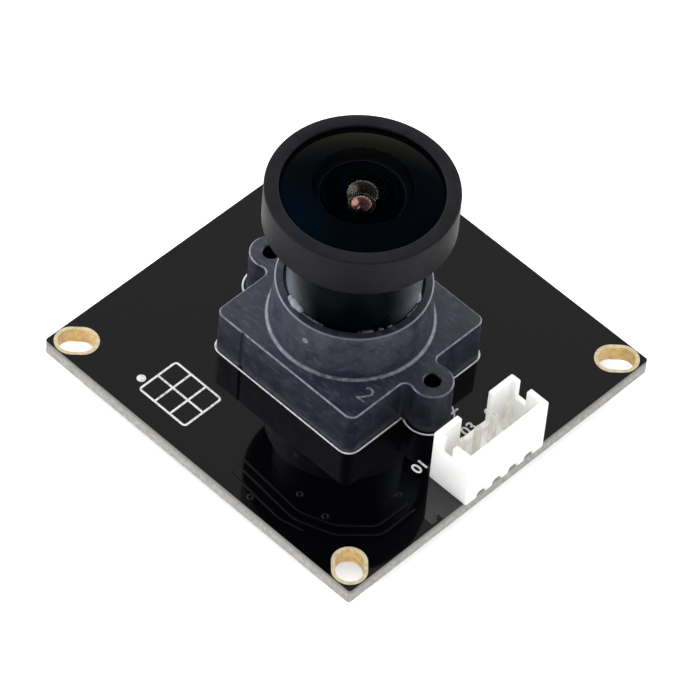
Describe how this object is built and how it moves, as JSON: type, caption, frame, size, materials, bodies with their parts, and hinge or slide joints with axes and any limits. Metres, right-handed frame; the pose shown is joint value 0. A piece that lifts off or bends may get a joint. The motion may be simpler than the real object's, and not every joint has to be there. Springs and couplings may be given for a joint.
{
  "type": "camera module",
  "caption": "Square camera circuit board with a wide-angle screw-in lens in a moulded holder, plated corner slots and a white upright wire header.",
  "frame": {"origin": "on the optical axis of the lens, level with the tips of the header's pin tails, the lowest points of the part", "axes": "+X along the board's header edge, +Y from that edge across the board, +Z along the optical axis, out of the lens"},
  "size_m": [0.038, 0.0383, 0.0256],
  "materials": {
    "board_mask": "gloss black solder mask on glass-fibre laminate",
    "gold_plating": "gold plated copper",
    "holder_plastic": "moulded, dark blue-grey, lightly scuffed",
    "screw_steel": "blackened",
    "clear_glue": "hard clear glue",
    "barrel_black": "gloss black anodised",
    "ring_charcoal": "matt charcoal anodised",
    "front_glass": "coated, very dark",
    "inner_glass": "coated",
    "inner_black": "matt black",
    "filter_glass": "coated, faint cyan",
    "sensor_ceramic": "plain",
    "sensor_silicon": "polished",
    "header_white": "moulded white nylon",
    "pin_plating": "tin plated",
    "solder": "bright solder",
    "chip_moulding": "fine moulded black",
    "crystal_metal": "satin lid",
    "ferrite": "dark grey",
    "capacitor_ceramic": "tan",
    "resistor_film": "black film"
  },
  "bodies": {
    "root": {"circuit_board": "board_mask", "plated_slots": "gold_plating", "lens_holder": "holder_plastic", "holder_screws": "screw_steel", "thread_lock_glue": "clear_glue", "lens_barrel": "barrel_black", "front_ring": "ring_charcoal", "front_element": "front_glass", "meniscus_element": "inner_glass", "front_lens_spacer": "inner_black", "second_element": "inner_glass", "aperture_stop": "inner_black", "third_element": "inner_glass", "rear_lens_spacer": "inner_black", "rear_element": "inner_glass", "rear_retaining_ring": "inner_black", "infrared_filter": "filter_glass", "sensor_package": "sensor_ceramic", "sensor_die": "sensor_silicon", "sensor_cover_glass": "inner_glass", "connector_housing": "header_white", "connector_pins": "pin_plating", "solder_joints": "solder", "controller_chip": "chip_moulding", "memory_chip": "chip_moulding", "voltage_regulators": "chip_moulding", "chip_leads": "solder", "clock_crystal": "crystal_metal", "power_inductors": "ferrite", "common_mode_choke": "ferrite", "capacitors": "capacitor_ceramic", "resistors": "resistor_film", "component_ends": "solder", "component_lands": "gold_plating"}
  },
  "joints": []
}
